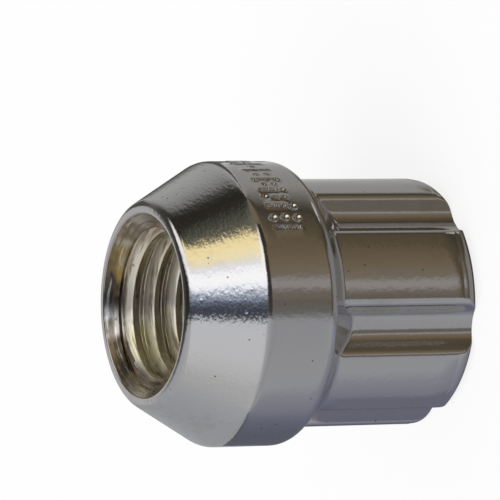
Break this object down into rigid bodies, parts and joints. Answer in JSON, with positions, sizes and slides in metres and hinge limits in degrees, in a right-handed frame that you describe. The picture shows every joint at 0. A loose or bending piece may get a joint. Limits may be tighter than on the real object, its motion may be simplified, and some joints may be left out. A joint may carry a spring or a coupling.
{
  "type": "lug nut",
  "caption": "Open-ended chrome lug nut with a right-hand thread, a conical seat, a plain collar and a splined drive body with a wide counterbore.",
  "frame": {"origin": "centre of the flat ring at the splined end, on the thread's axis, where the nut stands", "axes": "+Z along the thread's axis towards the small face of the conical seat, +X through the middle of a lobe"},
  "size_m": [0.0238, 0.0238, 0.0264],
  "materials": {
    "lug_nut": "bright chrome plate over nickel, lightly pitted, rough on the seat cone"
  },
  "bodies": {
    "root": {"lug_nut": "lug_nut"}
  },
  "joints": []
}
